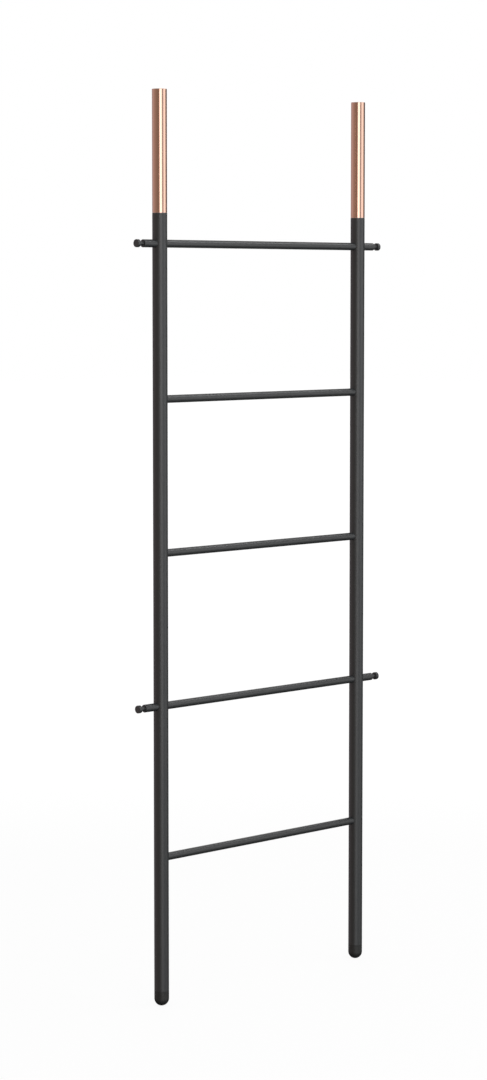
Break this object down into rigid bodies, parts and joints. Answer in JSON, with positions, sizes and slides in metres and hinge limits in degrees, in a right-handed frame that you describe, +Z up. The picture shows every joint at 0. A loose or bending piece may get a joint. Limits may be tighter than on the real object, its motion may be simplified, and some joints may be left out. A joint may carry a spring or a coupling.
{
  "type": "towel ladder",
  "caption": "Leaning ladder for hanging towels: round black rails with polished copper top sleeves, round rungs, grooved side pegs and rubber feet.",
  "frame": {"origin": "on the floor, midway between the two feet and on the centre plane of the rails", "axes": "+X along the rungs to the ladder's right as the picture shows it, +Y to the back, towards the wall, +Z up along the rails"},
  "size_m": [0.712, 0.03, 1.85],
  "materials": {
    "powder_coat": "matt black powder coat with a slight sheen",
    "copper": "polished copper plating",
    "foot_rubber": "matt moulded rubber",
    "zinc_steel": "zinc plated"
  },
  "bodies": {
    "root": {"left_rail": "powder_coat", "left_copper_sleeve": "copper", "left_top_cap": "copper", "left_sleeve_coupler": "zinc_steel", "left_foot": "foot_rubber", "left_lower_insert": "zinc_steel", "left_lower_stud": "zinc_steel", "left_lower_peg": "powder_coat", "left_upper_insert": "zinc_steel", "left_upper_stud": "zinc_steel", "left_upper_peg": "powder_coat", "right_rail": "powder_coat", "right_copper_sleeve": "copper", "right_top_cap": "copper", "right_sleeve_coupler": "zinc_steel", "right_foot": "foot_rubber", "right_lower_insert": "zinc_steel", "right_lower_stud": "zinc_steel", "right_lower_peg": "powder_coat", "right_upper_insert": "zinc_steel", "right_upper_stud": "zinc_steel", "right_upper_peg": "powder_coat", "rung_1": "powder_coat", "rung_2": "powder_coat", "rung_3": "powder_coat", "rung_4": "powder_coat", "rung_5": "powder_coat"}
  },
  "joints": []
}
